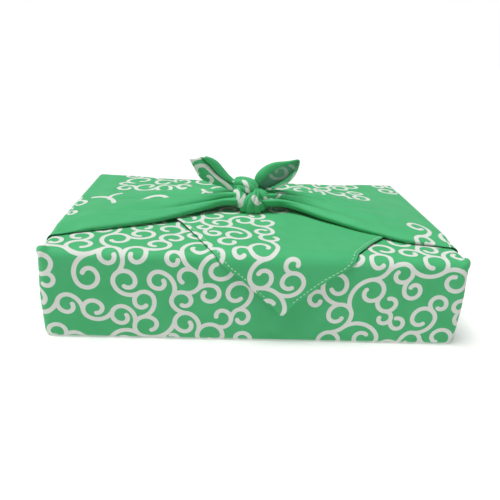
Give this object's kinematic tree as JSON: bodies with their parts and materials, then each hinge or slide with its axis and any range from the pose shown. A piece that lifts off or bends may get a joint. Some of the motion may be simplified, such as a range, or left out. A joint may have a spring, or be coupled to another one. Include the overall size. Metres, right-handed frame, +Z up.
{
  "type": "furoshiki wrap",
  "caption": "Square cloth folded round a low box shape, its back corner hanging over the front and its side corners tied in a knot with two ears on top.",
  "frame": {"origin": "middle of the wrap's footprint on the surface it rests on, with the hanging corner left out", "axes": "+X to the right along the long side, seen from the side where the corner hangs; +Y to the back; +Z up"},
  "size_m": [0.3278, 0.2134, 0.1229],
  "materials": {
    "printed_cotton": "plain-woven thin cotton, green with an off-white arabesque print, satin sheen"
  },
  "bodies": {
    "root": {"furoshiki_cloth": "printed_cotton"}
  },
  "joints": []
}
